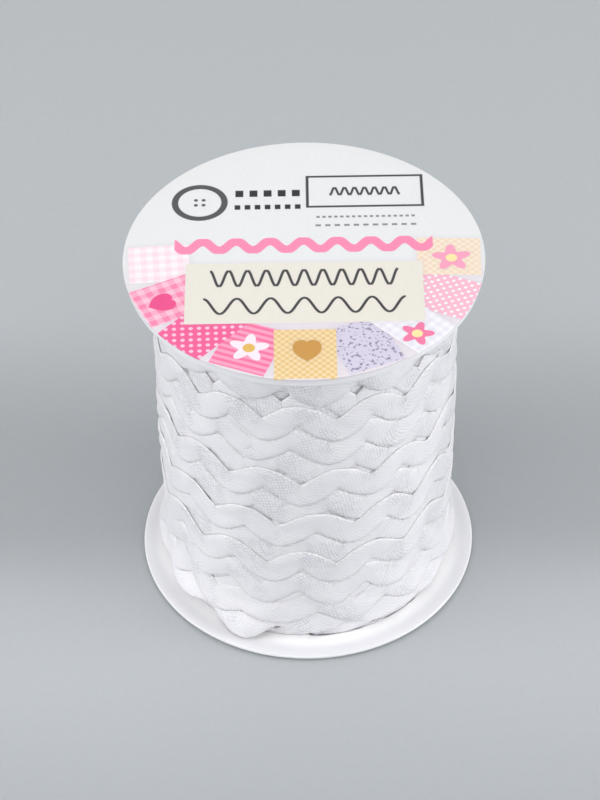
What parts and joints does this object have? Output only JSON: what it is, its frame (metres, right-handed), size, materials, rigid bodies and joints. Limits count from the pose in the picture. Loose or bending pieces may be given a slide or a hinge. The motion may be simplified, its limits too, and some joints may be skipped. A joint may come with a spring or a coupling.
{
  "type": "roll of ric rac",
  "caption": "White ric rac braid wound in wavy turns on a plastic reel with round flanges, standing on one flange, with a printed card disc on top.",
  "frame": {"origin": "middle of the lower flange's underside, on the reel's axis", "axes": "+Z along the reel's axis towards the label; -Y is the side that faces the camera in the picture"},
  "size_m": [0.06, 0.06, 0.068],
  "materials": {
    "reel_plastic": "white moulded polystyrene, soft sheen",
    "braid": "white satin polyester flat braid",
    "label_card": "coated card, printed in pinks on white"
  },
  "bodies": {
    "root": {"flange_bottom": "reel_plastic", "winding": "braid", "flange_top": "reel_plastic", "label": "label_card"}
  },
  "joints": []
}
